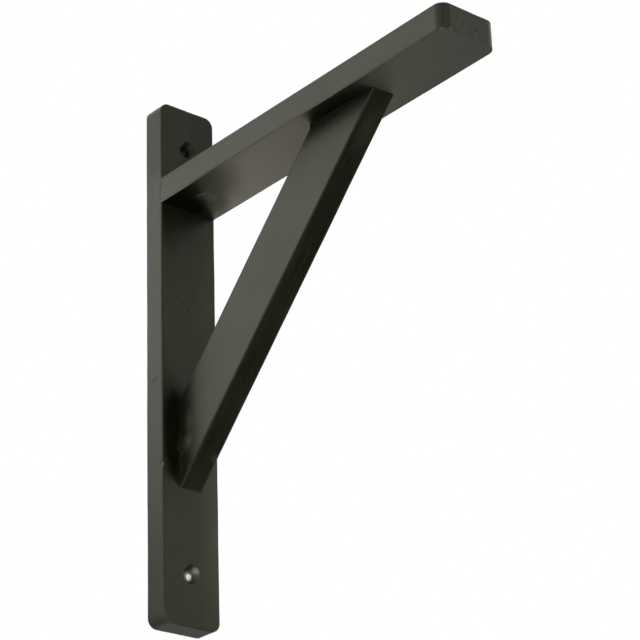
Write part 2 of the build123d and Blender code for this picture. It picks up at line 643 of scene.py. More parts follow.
@dataclass(frozen=True)
class Lie:
    """How a slat lies in the bracket.

    Attributes:
        origin: where its own coordinates begin.
        across: unit direction across the slat.
        along: unit direction along it.
        out: unit direction out of its front face.
    """

    origin: Vec
    across: Vec
    along: Vec
    out: Vec

    def turn(self) -> Array:
        """Gives the directions as the rows of a matrix."""
        return np.array([self.across, self.along, self.out])

    def place(self, local: Array) -> Array:
        """Turns the slat's own coordinates into the bracket's."""
        return np.array(self.origin) + local @ self.turn()

    def find(self, world: Array) -> Array:
        """Turns the bracket's coordinates into the slat's own."""
        return (world - np.array(self.origin)) @ self.turn().T


@dataclass(frozen=True)
class Dent:
    """A shallow dent, deepest at its middle and falling off like a bell curve.

    Attributes:
        centre_mm: its middle, in the bracket's frame.
        reach_mm: where the bell curve has fallen to about a third.
        depth_mm: its depth in the middle.
    """

    centre_mm: Vec
    reach_mm: float
    depth_mm: float


@dataclass
class Slat:
    """A planed and sanded slat.

    Its outline lies in the plane of its broad faces. Sections across the edge are carried round the outline:
    from the middle line of the back face, over the sanded back edge, the side and the sanded front edge, to
    the middle line of the front face.

    Attributes:
        name: name of the piece.
        node: CAD node that it stands for.
        lie: how it lies in the bracket.
        corners: outline corners (across, along), anticlockwise seen from the front.
        radii: radius of each corner.
        sawn: whether the outline's side after each corner is a sawn joint face, left square.
        thickness: thickness between the broad faces.
        finish: finish of the slat.
        seed: seed of its unevenness.
        holes: holes drilled in it.
        dents: dents in it.
        square_front: lowest and highest place along the slat where the front edges stay square.
        edge_radius: radius of the sanded edges.
        square_radius: radius of the edges that stay square.
        edge_fade: how far from an edge the handling shows.
        unevenness: how deep the planed faces waver.
        planing_waves: length of those waves across the slat, along it and through it.
        sanding_wave: length over which the sanding of the edges varies.
        step: spacing of points round the outline.
        arc_step: spacing of points round its corners.
        rows: rows of points on half a broad face, on a sanded edge and on a side.
        paint_in_bore: how far the paint reaches into a bare bore.
        piece: the object, once it is built.
    """

    name: str
    node: str
    lie: Lie
    corners: Array
    radii: Array
    sawn: tuple[bool, ...]
    thickness: float
    finish: PaintedBirch
    seed: int
    holes: tuple[Hole, ...] = ()
    dents: tuple[Dent, ...] = ()
    square_front: Span = (0.0, 0.0)
    edge_radius: float = 0.42 * MM
    square_radius: float = 0.04 * MM
    edge_fade: float = 0.8 * MM
    unevenness: float = 0.09 * MM
    planing_waves: Vec = (16 * MM, 70 * MM, 16 * MM)
    sanding_wave: float = 30 * MM
    step: float = 1.0 * MM
    arc_step: float = 0.7 * MM
    rows: tuple[int, int, int] = (12, 6, 9)
    paint_in_bore: float = 0.3 * MM
    piece: bpy.types.Object | None = field(default=None, init=False)

    def outline(self) -> tuple[Array, Array, Array]:
        """Walks round the outline.

        Each corner becomes an arc that is tangent to its two sides. Straight sides get a point wherever their
        longer coordinate passes a multiple of the step, so that points on opposite sides face each other.

        Returns:
            Points, outward normals, and whether each point lies on a sawn side.
        """
        points, normals, sawn = [], [], []
        count = len(self.corners)
        ahead = unit(np.roll(self.corners, -1, axis=0) - self.corners)
        behind = np.roll(ahead, 1, axis=0)
        sine = behind[:, 0] * ahead[:, 1] - behind[:, 1] * ahead[:, 0]
        turn = np.arctan2(sine, (behind * ahead).sum(-1))
        trim = self.radii * np.tan(turn / 2)
        for k in range(count):
            start = self.corners[k] - behind[k] * trim[k]
            first = math.atan2(-behind[k][0], behind[k][1])
            steps = max(3, round(turn[k] * self.radii[k] / self.arc_step))
            angles = first + np.linspace(0, turn[k], steps + 1)
            facing = np.stack([np.cos(angles), np.sin(angles)], -1)
            middle = start - self.radii[k] * facing[0]
            points.append(middle + self.radii[k] * facing)
            normals.append(facing)
            sawn.append(np.where(np.arange(steps + 1) * 2 < steps, self.sawn[k - 1], self.sawn[k]))
            begin = self.corners[k] + ahead[k] * trim[k]
            other = (k + 1) % count
            end = self.corners[other] - ahead[k] * trim[other]
            main = int(abs(ahead[k][1]) > 0.5)
            low, high = sorted((begin[main], end[main]))
            levels = np.arange(math.ceil(low / self.step), math.floor(high / self.step) + 1) * self.step
            clear = 0.3 * self.step
            levels = levels[(levels > low + clear) & (levels < high - clear)]
            levels = levels if end[main] > begin[main] else levels[::-1]
            share = ((levels - begin[main]) / (end[main] - begin[main]))[:, None]
            points.append(begin + share * (end - begin))
            normals.append(np.repeat([[ahead[k][1], -ahead[k][0]]], len(levels), axis=0))
            sawn.append(np.full(len(levels), self.sawn[k]))
        return np.concatenate(points), np.concatenate(normals), np.concatenate(sawn)

    def edge_radii(self, points: Array, sawn: Array) -> tuple[Array, Array]:
        """Gives the radius of the sanded edge at each outline point, uneven as hand sanding leaves it.

        Args:
            points: outline points.
            sawn: whether each lies on a sawn side.

        Returns:
            Radii on the back and on the front.
        """
        spread = np.column_stack([points, np.zeros(len(points))])
        seeds = (self.seed + 40, self.seed + 41)
        uneven = [Ripple((self.sanding_wave,) * 3, seed).at(spread) for seed in seeds]

        # Sanding leaves three to five quarters of the radius
        sanded = [self.edge_radius * (0.75 + 0.5 * share) for share in uneven]
        back, front = (np.where(sawn, self.square_radius, radius) for radius in sanded)
        low, high = self.square_front
        front = np.where((points[:, 1] > low) & (points[:, 1] < high), self.square_radius, front)
        return back, front

    def grid(self) -> Array:
        """Grid of the slat's whole surface.

        Rows run from the back face's middle line to the front's. On a broad face a point lies a share of the
        way from the middle line to the outline. On a sanded edge of radius r at angle a it lies
        r * (1 - cos a) in from the side and r * (1 - sin a) in from the face. Then every point sinks along
        its normal by the unevenness and the dents.

        Returns:
            Points of shape (around, rows, 3), in the bracket's frame.
        """
        points, normals, sawn = self.outline()
        back, front = self.edge_radii(points, sawn)
        half = self.thickness / 2
        reach = np.abs(self.corners[:, 0]).max()
        low, high = np.sort(self.corners[:, 1])[[1, 2]]
        ends = np.round(np.array([low + reach, high - reach]) / self.step) * self.step
        middle = np.column_stack([np.zeros(len(points)), np.clip(points[:, 1], *ends)])

        # A sawn end follows the sanded edges beside it
        radius = self.edge_radius
        inside = np.clip(reach - np.abs(points[:, 0]), 0, radius)
        deep = half - np.where(sawn, radius - np.sqrt(radius**2 - (radius - inside) ** 2), 0)

        # How far in, how high, how far from the middle line and how tilted the rows of each stretch are.
        # Rows on a face crowd towards its edge
        on_face, on_edge, on_side = self.rows
        share = np.sin(np.linspace(0, 1, on_face + 1)[:-1, None] * np.pi / 2) ** 0.8
        bend = np.linspace(0, np.pi / 2, on_edge)[:, None]
        rise = (np.linspace(-1, 1, on_side + 2)[1:-1, None] + 1) / 2
        stretches = (
            (back, -half, share, -np.pi / 2),
            (back * (1 - np.cos(bend[::-1])), back * (1 - np.sin(bend[::-1])) - deep, 1.0, -bend[::-1]),
            (0.0, (deep - front + deep - back) * rise - (deep - back), 1.0, 0.0),
            (front * (1 - np.cos(bend)), deep - front * (1 - np.sin(bend)), 1.0, bend),
            (front, half, share[::-1], np.pi / 2),
        )
        shapes = [(rows, len(points)) for rows in (on_face, on_edge, on_side, on_edge, on_face)]
        inset, height, part, tilt = (
            np.concatenate([np.broadcast_to(value, shape) for value, shape in zip(values, shapes)]).T
            for values in zip(*stretches)
        )
        edge = points[:, None] - normals[:, None] * inset[..., None]
        plane = middle[:, None] + part[..., None] * (edge - middle[:, None])
        local = np.concatenate([plane, height[..., None]], -1)
        out = np.concatenate([normals[:, None] * np.cos(tilt)[..., None], np.sin(tilt)[..., None]], -1)
        return self.lie.place(local - out * self.sunk(local)[..., None])

    def sunk(self, local: Array) -> Array:
        """Gives how far each point sinks: slow waves along the planed faces, and the dents.

        Args:
            local: points in the slat's own coordinates.

        Returns:
            Depths, never below zero.
        """
        wave = Ripple(self.planing_waves, self.seed).at(local)
        world = self.lie.place(local)
        depth = self.unevenness * wave
        for dent in self.dents:
            away = np.linalg.norm(world - np.array(dent.centre_mm) * MM, axis=-1) / (dent.reach_mm * MM)
            depth = depth + dent.depth_mm * MM * np.exp(-(away**2))
        return depth

    def build(self, bare: bpy.types.Material) -> None:
        """Builds the slat, drills it and paints it.

        Args:
            bare: material of the bare bores.
        """
        self.piece = grid_object(self.name, [self.grid()])
        if self.holes:
            cut(self.piece, grid_object(self.name + "_drill", [hole.grid() for hole in self.holes]))
        smooth(self.piece)
        mesh = self.piece.data
        edge = mesh.attributes.new(EDGE_ATTRIBUTE, "FLOAT", "POINT")
        edge.data.foreach_set("value", self.edge_nearness())
        mesh.materials.clear()
        mesh.materials.append(self.finish.build())
        mesh.materials.append(bare)
        mesh.polygons.foreach_set("material_index", self.bare_faces().astype(np.int32))
        hand_over(self.piece, (self.node,))

    def edge_nearness(self) -> Array:
        """Gives how near each vertex lies to a sanded edge.

        It is a bell curve of the vertex's depth under the side plus under the face. The depth under the side
        is the least distance to the outline's tangent planes.

        Returns:
            One on an edge, falling to zero about two millimetres away.
        """
        vertices = self.piece.data.vertices
        world = np.zeros(len(vertices) * 3)
        vertices.foreach_get("co", world)
        local = self.lie.find(world.reshape(-1, 3))
        points, normals, sawn = self.outline()
        first = np.unique(np.round(normals[~sawn], 3), axis=0, return_index=True)[1]
        points, normals = points[~sawn][first], normals[~sawn][first]
        under_side = ((points * normals).sum(-1) - local[:, :2] @ normals.T).min(-1)
        under_face = self.thickness / 2 - np.abs(local[:, 2])
        return np.exp(-(((under_side + under_face) / self.edge_fade) ** 2))

    def bare_faces(self) -> Array:
        """Finds the faces of the bare bores, within the bore's radius of its axis and behind the countersink.

        Returns:
            True for each bare face.
        """
        polygons = self.piece.data.polygons
        centres = np.zeros(len(polygons) * 3)
        polygons.foreach_get("center", centres)
        centres = centres.reshape(-1, 3)
        bare = np.zeros(len(polygons), bool)
        for hole in (hole for hole in self.holes if hole.bare):
            offset = centres - hole.mouth
            depth = offset @ hole.axis
            radial = np.linalg.norm(offset - depth[:, None] * hole.axis, axis=-1)
            on_bore = radial < 1.02 * hole.radius
            bare |= on_bore & (depth > hole.sink - hole.radius + self.paint_in_bore)
        return bare


@dataclass(frozen=True)
class Lump:
    """Glue squeezed out of a joint and painted over, a bulge of a bead.

    Attributes:
        at_mm: its middle on the joint's line.
        reach_mm: half its length along the joint.
        first_mm: how far it swells along the first face.
        second_mm: how far it swells along the second face.
    """

    at_mm: Vec
    reach_mm: float
    first_mm: float
    second_mm: float


@dataclass(frozen=True)
class Bead:
    """Paint and glue in the inner corner of a joint, a hollow profile carried along the joint's line.

    Attributes:
        path: points along the joint.
        first: unit directions along the first face, away from the corner, one to a point.
        second: the same along the second face.
        closed: whether the path runs all round.
        seed: seed of its unevenness.
        radius: typical reach along the first face and along the second.
        lumps: bulges on it.
        buried: depth of its foot in the wood.
        waves: length of its fine unevenness and of its slow one.
        tapered: number of points over which an open end tapers off.
        fullness: how far a lump fills the hollow, from zero to one.
    """

    path: Array
    first: Array
    second: Array
    closed: bool
    seed: int
    radius: Span
    lumps: tuple[Lump, ...] = ()
    buried: float = 0.12 * MM
    waves: Span = (2.6 * MM, 11 * MM)
    tapered: int = 3
    fullness: float = 0.6

    def grid(self) -> Array:
        """Grid of the bead.

        The hollow profile at angle a lies reach * (1 - sin a) along the first face and reach * (1 - cos a)
        along the second. A lump swells it towards reach * cos a and reach * sin a. Its foot is buried in the
        wood.

        Returns:
            Points of shape (around, along, 3).
        """
        fine = [Ripple((self.waves[0],) * 3, self.seed + n).at(self.path) for n in (0, 1)]
        slow = [Ripple((self.waves[1],) * 3, self.seed + n).at(self.path) for n in (2, 3)]
        reach = np.stack([self.radius[n] * (0.3 + 0.7 * slow[n] + 0.7 * fine[n]) for n in (0, 1)])
        swell = np.zeros(len(self.path))
        for lump in self.lumps:
            away = np.linalg.norm(self.path - np.array(lump.at_mm) * MM, axis=-1) / (lump.reach_mm * MM)
            bulge = np.exp(-(away**2))
            grown = np.array([[lump.first_mm], [lump.second_mm]]) * MM * bulge
            reach = reach + grown * (0.7 + 0.6 * np.stack(slow))
            swell = np.maximum(swell, bulge)
        if not self.closed:
            ends = np.minimum(np.arange(len(self.path)), np.arange(len(self.path))[::-1])
            reach = reach * np.clip(ends / self.tapered, 0, 1)
        angle = np.linspace(0, np.pi / 2, 11)[:, None]
        hollow = np.stack([1 - np.sin(angle), 1 - np.cos(angle)])
        full = np.stack([np.cos(angle), np.sin(angle)]) * 0.9
        filled = self.fullness * swell
        shape = (hollow * (1 - filled) + full * filled) * reach[:, None, :]
        buried = np.minimum(self.buried, reach)[:, None, :]
        under = np.stack([reach[0][None, :], -buried[1]])
        behind = np.stack([-buried[0], reach[1][None, :]])
        profile = np.concatenate([under, shape, behind, -buried], axis=1)
        return self.path + profile[0][..., None] * self.first + profile[1][..., None] * self.second


@dataclass
class JointPaint:
    """Beads of glue and paint that bridge the joints between the slats.

    Attributes:
        upright: box of the upright.
        arm: box of the arm.
        brace: box of the brace.
        finish: finish of the beads.
        dull_shaded_finish: finish of the beads where the paint dried thick and dull, its dark sheen painted
            shade.
        spacing: spacing of points along a bead.
        end_inset: how far a straight bead stops short of the arm's sides.
    """

    upright: Array
    arm: Array
    brace: Array
    finish: PaintedBirch
    dull_shaded_finish: PaintedBirch
    spacing: float = 0.35 * MM
    end_inset: float = 0.7 * MM

    def round_brace(self, at_foot: bool, seed: int, radius: Span,
                    lumps: tuple[Lump, ...] = ()) -> Bead:
        """Bead round one mitred end of the brace.

        Args:
            at_foot: whether it is the end on the upright, and not the one under the arm.
            seed: seed of its unevenness.
            radius: its typical reach along the two faces.
            lumps: bulges on it.

        Returns:
            The bead, its path anticlockwise round the end's rectangle with small corner arcs.
        """
        low, high = self.brace
        x = np.array([low[0], high[0]])
        length = self.upright_cut() if at_foot else self.arm_cut()
        arc = 0.5 * MM
        corners = np.array([[x[0], length[0]], [x[1], length[0]], [x[1], length[1]], [x[0], length[1]]])
        inward = np.array([[1, 1], [-1, 1], [-1, -1], [1, -1]])
        points, normals = [], []
        for k in range(4):
            ahead = corners[(k + 1) % 4] - corners[k]
            angles = np.pi + k * np.pi / 2 + np.linspace(0, np.pi / 2, 5)
            facing = np.stack([np.cos(angles), np.sin(angles)], -1)
            points.append(corners[k] + inward[k] * arc + arc * facing)
            normals.append(facing)
            begin = points[-1][-1]
            end = np.where(np.abs(ahead) > 0, corners[(k + 1) % 4] - np.sign(ahead) * arc, begin)
            count = max(2, round(np.linalg.norm(end - begin) / self.spacing))
            points.append(begin + np.linspace(0, 1, count + 1)[1:-1, None] * (end - begin))
            normals.append(np.repeat([[np.sin(k * np.pi / 2), -np.cos(k * np.pi / 2)]], count - 1, axis=0))
        flat, facing = np.concatenate(points), np.concatenate(normals)
        slope = np.array([0, -1, 1]) / math.sqrt(2)
        on_side = np.abs(facing[:, :1])
        if at_foot:
            path = np.column_stack([flat[:, 0], np.full(len(flat), self.upright[0][1]), flat[:, 1]])
            first = np.column_stack([facing[:, 0], np.zeros(len(flat)), facing[:, 1]])
            second = unit(on_side * np.array([0, -1, 0]) + (1 - on_side) * slope)
        else:
            path = np.column_stack([flat[:, 0], flat[:, 1], np.full(len(flat), self.arm[0][2])])
            first = np.column_stack([facing[:, 0], facing[:, 1], np.zeros(len(flat))])
            second = unit(on_side * np.array([0, 0, -1]) - (1 - on_side) * slope)
        return Bead(path, first, second, True, seed, radius, lumps)

    def upright_cut(self) -> Array:
        """Gives the lowest and highest Z of the brace's cut on the upright."""
        high = self.brace[1][2] - brace_leg(self.brace)
        return np.array([high - BRACE_CUT, high])

    def arm_cut(self) -> Array:
        """Gives the lowest and highest Y of the brace's cut under the arm."""
        low = self.brace[0][1]
        return np.array([low, low + BRACE_CUT])

    def along_arm(self, top: bool, seed: int, radius: Span, lumps: tuple[Lump, ...] = ()) -> Bead:
        """Bead along the corner between the arm and the upright's front.

        Args:
            top: whether it lies on the arm, and not under it.
            seed: seed of its unevenness.
            radius: its typical reach along the two faces.
            lumps: bulges on it.

        Returns:
            The bead, a straight one across the bracket.
        """
        reach = self.arm[1][0] - self.end_inset
        x = np.linspace(-reach, reach, round(2 * reach / self.spacing))
        z = self.arm[1][2] if top else self.arm[0][2]
        path = np.column_stack([x, np.full(len(x), self.upright[0][1]), np.full(len(x), z)])
        first = np.repeat([[0.0, -1.0, 0.0]], len(x), axis=0)
        second = np.repeat([[0.0, 0.0, 1.0 if top else -1.0]], len(x), axis=0)
        return Bead(path, first, second, False, seed, radius, lumps)

    def build(self) -> None:
        """Builds the beads, round the brace's two ends and along the arm's joint."""
        foot = self.round_brace(True, 11, (0.03 * MM, 0.03 * MM), (
            Lump((-5.8, -11.5, -46.6), 1.4, 0.9, 0.9),
            Lump((-5.8, -11.5, -44.0), 3.0, 0.5, 4.0),
            Lump((-5.8, -11.5, -48.5), 3.6, 0.4, 2.6),
            Lump((-5.8, -11.5, -57.0), 4.5, 0.3, 2.0),
            Lump((3.0, -11.5, -64.4), 1.4, 0.7, 0.5),
        ))
        # Lumps on the brace's left face widen the dull bead into painted shade along the joint
        head = self.round_brace(False, 23, (0.05 * MM, 0.05 * MM), (
            Lump((-5.8, -108.5, 71.25), 5.0, 0.7, 2.6),
            Lump((-5.8, -117.5, 71.25), 6.0, 0.9, 2.6),
            Lump((-5.8, -128.0, 71.25), 6.0, 0.7, 2.0),
            Lump((-5.8, -137.0, 71.25), 5.0, 0.5, 1.2),
            Lump((3.0, -147.0, 71.25), 2.6, 0.4, 0.5),
        ))
        foot_ring = grid_object("brace_foot_glue", [foot.grid()], ring=True)
        head_ring = grid_object("brace_head_glue", [head.grid()], ring=True)
        lines = grid_object("arm_joint_paint", [
            self.along_arm(False, 31, (0.1 * MM, 0.14 * MM), (
                Lump((-8.5, -11.5, 71.25), 2.6, 0.2, 0.4),
                Lump((-3.0, -11.5, 71.25), 2.2, 0.3, 0.5),
                Lump((6.0, -11.5, 71.25), 3.4, 0.2, 0.6),
                Lump((11.0, -11.5, 71.25), 1.8, 0.2, 0.4),
            )).grid(),
            self.along_arm(True, 37, (0.3 * MM, 0.3 * MM)).grid(),
        ])
        # The dull finish's dark sheen is painted shade in the head's joint and under the arm
        satin, dull = self.finish.build(), self.dull_shaded_finish.build()
        for obj, material in ((foot_ring, satin), (head_ring, dull), (lines, dull)):
            smooth(obj)
            obj.data.materials.append(material)
            hand_over(obj)


@dataclass(frozen=True)
class Seat:
    """Where a screw sits.

    Attributes:
        head: middle of its head's top.
        axis: unit direction into the wood.
    """

    head: Array
    axis: Array


@dataclass
class AssemblyScrews:
    """Countersunk wood screws with a cross recess, driven from the hidden sides and painted over.

    Attributes:
        seats: where the screws sit.
        finish: finish of the screws.
        length: length from the head's top to the tip.
        head_radius: radius of the head.
        rim_height: height of the head's eased rim.
        core_radius: radius of the core.
        thread_radius: radius of the thread's crest.
        pitch: rise of the thread in one turn.
        thread_start: depth where the thread begins.
        thread_width: half the width of the thread's ridge, in shares of the pitch.
        point_length: length of the tapered point.
        recess: half span, slot width and depth of the cross recess.
        recess_wall: width over which the recess's walls drop.
        slot_along: direction that one slot of the recess follows, near X.
        head_rows: rows of points over the head's top and down its cone.
        step: spacing of rows along the shank.
        around: steps round a screw.
    """

    seats: tuple[Seat, ...]
    finish: PaintedSteel
    length: float = SCREW_LENGTH
    head_radius: float = 3.5 * MM
    rim_height: float = 0.12 * MM
    core_radius: float = 1.25 * MM
    thread_radius: float = 1.9 * MM
    pitch: float = 1.8 * MM
    thread_start: float = 13 * MM
    thread_width: float = 0.24
    point_length: float = 5 * MM
    recess: tuple[float, float, float] = (2.0 * MM, 0.9 * MM, 1.5 * MM)
    recess_wall: float = 0.16 * MM
    slot_along: Vec = (1.0, 0.02, 0.03)
    head_rows: tuple[int, int] = (26, 7)
    step: float = 0.2 * MM
    around: int = 72

    def grid(self, seat: Seat) -> Array:
        """Grid of one screw.

        The profile runs from the middle of the head's top, over its rim, down the cone and the core to the
        tip, and is turned about the axis. In the recess the top sinks with the distance inside a cross of two
        slots, up to its depth. Past its start the thread adds a ridge to the core wherever depth / pitch less
        angle / turn is near a whole number.

        Args:
            seat: where the screw sits.

        Returns:
            Points of shape (around, rows, 3).
        """
        on_top, on_cone = self.head_rows
        top = np.linspace(0, 0.97 * self.head_radius, on_top)
        cone = self.head_radius - self.core_radius
        sides = np.linspace(self.head_radius, self.core_radius, on_cone)
        down = self.rim_height + cone * np.linspace(0, 1, on_cone)
        shank = np.arange(cone + self.step, self.length - self.step / 2, self.step)
        taper = np.clip((self.length - shank) / self.point_length, 0, 1)
        radius = np.concatenate([top, sides, self.core_radius * taper, [0]])
        depth = np.concatenate([top * 0, down, shank, [self.length]])
        angle = np.linspace(0, 2 * np.pi, self.around, endpoint=False)[:, None]

        # The recess is deepest in the middle
        span, slot, deep = self.recess
        x, y = np.abs(radius * np.cos(angle)), np.abs(radius * np.sin(angle))
        inside = np.maximum(np.minimum(span - x, slot / 2 - y), np.minimum(span - y, slot / 2 - x))
        floor = deep * np.clip(1.15 - np.maximum(x, y) / span, 0.25, 1)
        sunk = np.clip(inside / self.recess_wall, 0, 1) * floor
        flat = np.arange(len(radius)) < on_top

        # The thread grows over its first turn and shrinks along the point
        turns = depth / self.pitch - angle / (2 * np.pi)
        ridge = np.clip(1 - np.abs(turns - np.round(turns)) / self.thread_width, 0, 1)
        begun = np.clip((depth - self.thread_start) / self.pitch, 0, 1)
        grown = begun * np.clip((self.length - depth) / self.point_length, 0, 1)
        radius = radius + ridge * grown * (self.thread_radius - self.core_radius)
        depth = depth + np.where(flat, sunk, 0)
        side = unit(np.cross(seat.axis, self.slot_along))
        other = np.cross(seat.axis, side)
        spread = (radius * np.cos(angle))[..., None] * side + (radius * np.sin(angle))[..., None] * other
        return seat.head + depth[..., None] * seat.axis + spread

    def build(self) -> None:
        """Builds the screws and paints them."""
        obj = grid_object("painted_wood_screws", [self.grid(seat) for seat in self.seats])
        smooth(obj)
        obj.data.materials.append(self.finish.build())
        hand_over(obj, ("assembly_screws",))


@dataclass(frozen=True)
class Patch:
    """A brighter or darker part of the studio's surround, as a white card or a black screen gives it.

    Attributes:
        towards: direction of its middle.
        inner: angle within which it is full, in degrees.
        outer: angle at which it ends, in degrees.
        strength: light that it adds, where one is white, or takes away.
    """

    towards: Vec
    inner: float
    outer: float
    strength: float


@dataclass(frozen=True)
class Softbox:
    """A soft rectangular lamp, out of the camera's sight.

    Attributes:
        name: name of the lamp.
        centre: its middle.
        target: point that it faces.
        size: its width and height.
        radiance: light of its face, where one is white, before a narrow beam gathers it.
        colour: colour of its light.
        spread: full angle of its beam, in degrees. A grid on the lamp makes it narrow.
    """

    name: str
    centre: Vec
    target: Vec
    size: tuple[float, float]
    radiance: float
    colour: str = "#ffffff"
    spread: float = 180.0

    def build(self) -> None:
        """Makes the lamp. A face of even light has a power of pi * radiance * area."""
        data = bpy.data.lights.new(self.name, "AREA")
        data.shape = "RECTANGLE"
        data.size, data.size_y = self.size
        data.energy = math.pi * self.radiance * self.size[0] * self.size[1]
        data.color = linear(self.colour)[:3]
        data.spread = math.radians(self.spread)
        lamp = bpy.data.objects.new(self.name, data)
        lamp.location = self.centre
        facing = Vector(self.target) - Vector(self.centre)
        lamp.rotation_euler = facing.to_track_quat("-Z", "Y").to_euler()
        lamp.visible_camera = False
        bpy.context.scene.collection.objects.link(lamp)


@dataclass(frozen=True)
class PhotoCamera:
    """The photograph's viewpoint, fitted to the bracket's straight edges.

    Attributes:
        azimuth: degrees round Z, zero in front of the bracket.
        elevation: degrees above the horizon.
        roll: degrees of tilt about the line of sight.
        aim_mm: point in the middle of the picture.
        distance: distance from that point.
        lens: focal length in millimetres, on a 36 mm sensor.
    """

    azimuth: float = -40.6834
    elevation: float = -24.6456
    roll: float = -2.0149
    aim_mm: Vec = (-1.77, -103.24, -17.97)
    distance: float = 1.00168
    lens: float = 136.085

    def build(self) -> None:
        """Makes the camera, its view turned by azimuth and elevation, then rolled about the line of sight."""
        a, e, r = (math.radians(v) for v in (self.azimuth, self.elevation, self.roll))
        back = np.array([math.sin(a) * math.cos(e), -math.cos(a) * math.cos(e), math.sin(e)])
        level = unit(np.cross([0, 0, 1], back))
        upright = np.cross(back, level)
        right = math.cos(r) * level + math.sin(r) * upright
        up = -math.sin(r) * level + math.cos(r) * upright
        place = np.eye(4)
        place[:3, 0], place[:3, 1], place[:3, 2] = right, up, back
        place[:3, 3] = np.array(self.aim_mm) * MM + back * self.distance
        data = bpy.data.cameras.new("photo_camera")
        data.lens = self.lens
        data.sensor_width = 36
        data.clip_start = 0.01
        camera = bpy.data.objects.new("photo_camera", data)
        camera.matrix_world = Matrix(place.tolist())
        bpy.context.scene.collection.objects.link(camera)
        bpy.context.scene.camera = camera


